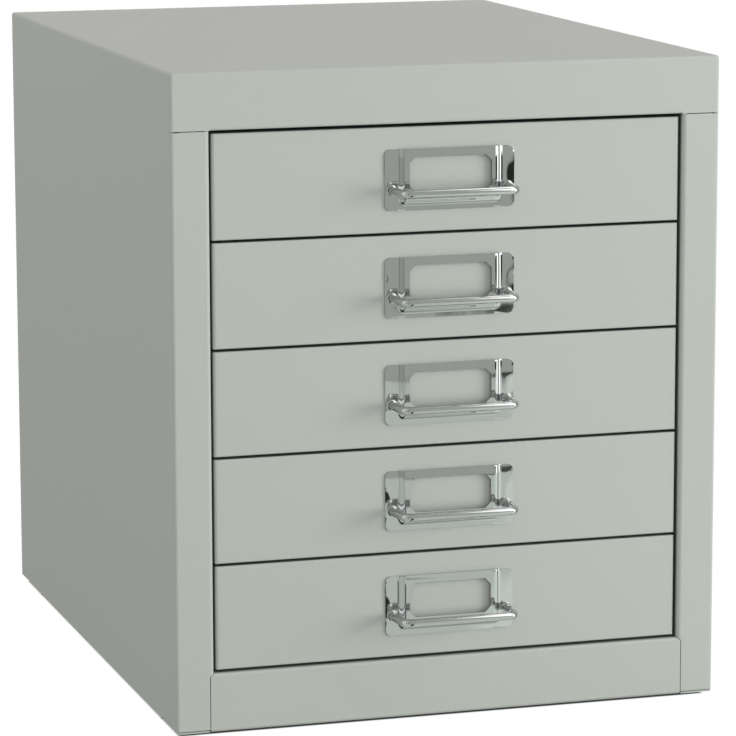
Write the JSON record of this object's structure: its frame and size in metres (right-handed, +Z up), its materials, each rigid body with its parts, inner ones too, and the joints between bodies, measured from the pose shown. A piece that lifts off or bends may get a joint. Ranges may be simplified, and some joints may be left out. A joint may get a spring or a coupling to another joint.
{
  "type": "desktop drawer cabinet",
  "caption": "Small painted steel desktop cabinet with shallow full-width drawers on caged-roller runners, each with a chromed label holder and wire bow pull.",
  "frame": {"origin": "on the surface that the feet stand on, at the middle of the overall box, from the front of the bows to the back panel", "axes": "+Z up, the drawers face -Y, +X is to the right seen from the front"},
  "size_m": [0.279, 0.38, 0.325],
  "materials": {
    "paint": "grey-green satin powder coat",
    "chrome": "bright chrome plate",
    "zinc": "bright zinc-plated steel",
    "bearing_steel": "polished bearing steel",
    "rubber": "black moulded rubber"
  },
  "bodies": {
    "carcass": {"top_cap": "paint", "side_panel_left": "paint", "side_panel_right": "paint", "back_panel": "paint", "base_panel": "paint", "bottom_rail": "paint", "foot_front_left": "rubber", "foot_front_right": "rubber", "foot_rear_left": "rubber", "foot_rear_right": "rubber", "runner_left_1": "zinc", "runner_right_1": "zinc", "runner_left_2": "zinc", "runner_right_2": "zinc", "runner_left_3": "zinc", "runner_right_3": "zinc", "runner_left_4": "zinc", "runner_right_4": "zinc", "runner_left_5": "zinc", "runner_right_5": "zinc"},
    "drawer_1": {"drawer_tray_1": "paint", "drawer_front_1": "paint", "label_plate_1": "chrome", "bow_handle_1": "chrome"},
    "roller_cages_1": {"roller_cage_left_1": "zinc", "roller_cage_right_1": "zinc", "rollers_1": "bearing_steel"},
    "drawer_2": {"drawer_tray_2": "paint", "drawer_front_2": "paint", "label_plate_2": "chrome", "bow_handle_2": "chrome"},
    "roller_cages_2": {"roller_cage_left_2": "zinc", "roller_cage_right_2": "zinc", "rollers_2": "bearing_steel"},
    "drawer_3": {"drawer_tray_3": "paint", "drawer_front_3": "paint", "label_plate_3": "chrome", "bow_handle_3": "chrome"},
    "roller_cages_3": {"roller_cage_left_3": "zinc", "roller_cage_right_3": "zinc", "rollers_3": "bearing_steel"},
    "drawer_4": {"drawer_tray_4": "paint", "drawer_front_4": "paint", "label_plate_4": "chrome", "bow_handle_4": "chrome"},
    "roller_cages_4": {"roller_cage_left_4": "zinc", "roller_cage_right_4": "zinc", "rollers_4": "bearing_steel"},
    "drawer_5": {"drawer_tray_5": "paint", "drawer_front_5": "paint", "label_plate_5": "chrome", "bow_handle_5": "chrome"},
    "roller_cages_5": {"roller_cage_left_5": "zinc", "roller_cage_right_5": "zinc", "rollers_5": "bearing_steel"}
  },
  "joints": [
    {"name": "drawer_1_slide", "type": "slide", "parent": "carcass", "child": "drawer_1", "axis": [0, -1, 0], "range_m": [0, 0.28]},
    {"name": "roller_cages_1_roll", "type": "slide", "parent": "carcass", "child": "roller_cages_1", "axis": [0, -1, 0], "range_m": [0, 0.14]},
    {"name": "drawer_2_slide", "type": "slide", "parent": "carcass", "child": "drawer_2", "axis": [0, -1, 0], "range_m": [0, 0.28]},
    {"name": "roller_cages_2_roll", "type": "slide", "parent": "carcass", "child": "roller_cages_2", "axis": [0, -1, 0], "range_m": [0, 0.14]},
    {"name": "drawer_3_slide", "type": "slide", "parent": "carcass", "child": "drawer_3", "axis": [0, -1, 0], "range_m": [0, 0.28]},
    {"name": "roller_cages_3_roll", "type": "slide", "parent": "carcass", "child": "roller_cages_3", "axis": [0, -1, 0], "range_m": [0, 0.14]},
    {"name": "drawer_4_slide", "type": "slide", "parent": "carcass", "child": "drawer_4", "axis": [0, -1, 0], "range_m": [0, 0.28]},
    {"name": "roller_cages_4_roll", "type": "slide", "parent": "carcass", "child": "roller_cages_4", "axis": [0, -1, 0], "range_m": [0, 0.14]},
    {"name": "drawer_5_slide", "type": "slide", "parent": "carcass", "child": "drawer_5", "axis": [0, -1, 0], "range_m": [0, 0.28]},
    {"name": "roller_cages_5_roll", "type": "slide", "parent": "carcass", "child": "roller_cages_5", "axis": [0, -1, 0], "range_m": [0, 0.14]}
  ],
  "couplings": [
    {"joint": "roller_cages_1_roll", "follows": "drawer_1_slide", "ratio": 0.5},
    {"joint": "roller_cages_2_roll", "follows": "drawer_2_slide", "ratio": 0.5},
    {"joint": "roller_cages_3_roll", "follows": "drawer_3_slide", "ratio": 0.5},
    {"joint": "roller_cages_4_roll", "follows": "drawer_4_slide", "ratio": 0.5},
    {"joint": "roller_cages_5_roll", "follows": "drawer_5_slide", "ratio": 0.5}
  ]
}
